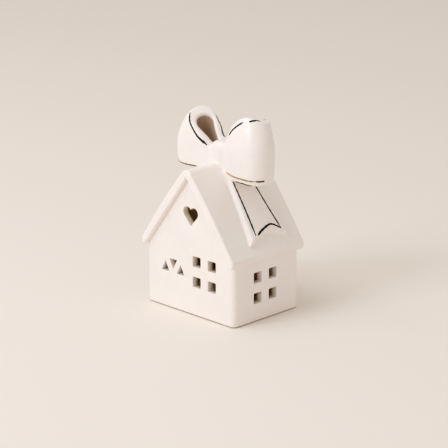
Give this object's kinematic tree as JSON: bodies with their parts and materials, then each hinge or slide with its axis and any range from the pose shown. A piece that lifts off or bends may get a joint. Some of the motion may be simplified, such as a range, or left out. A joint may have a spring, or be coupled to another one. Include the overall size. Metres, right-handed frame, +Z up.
{
  "type": "tealight house",
  "caption": "White glazed ceramic gabled house with cut-out windows and a ribbon bow on its ridge, set down over a tealight that stands in a round hole in its base.",
  "frame": {"origin": "centre of the base, on the surface that the house stands on", "axes": "+Z up, -Y out of the front gable, +X to the right seen from the front"},
  "size_m": [0.0776, 0.0614, 0.1206],
  "materials": {
    "wall_glaze": "gloss white glaze",
    "roof_glaze": "gloss white glaze",
    "floor_glaze": "gloss white glaze, bare underneath",
    "ribbon_glaze": "gloss white glaze with gold lustre lines",
    "cup_metal": "pressed foil",
    "wax": "smooth paraffin wax",
    "sustainer_metal": "tin plate",
    "wick_cotton": "waxed cotton"
  },
  "bodies": {
    "house": {"house_walls": "wall_glaze", "roof": "roof_glaze", "floor_plate": "floor_glaze", "ribbon_tail_left": "ribbon_glaze", "ribbon_tail_right": "ribbon_glaze", "bow_knot": "ribbon_glaze", "bow_loop_left": "ribbon_glaze", "bow_loop_right": "ribbon_glaze"},
    "tealight": {"tealight_cup": "cup_metal", "tealight_wax": "wax", "wick_sustainer": "sustainer_metal", "wick": "wick_cotton"}
  },
  "joints": [
    {"name": "house_lift", "type": "slide", "parent": "tealight", "child": "house", "axis": [0, 0, 1], "range_m": [0, 0.03]}
  ]
}
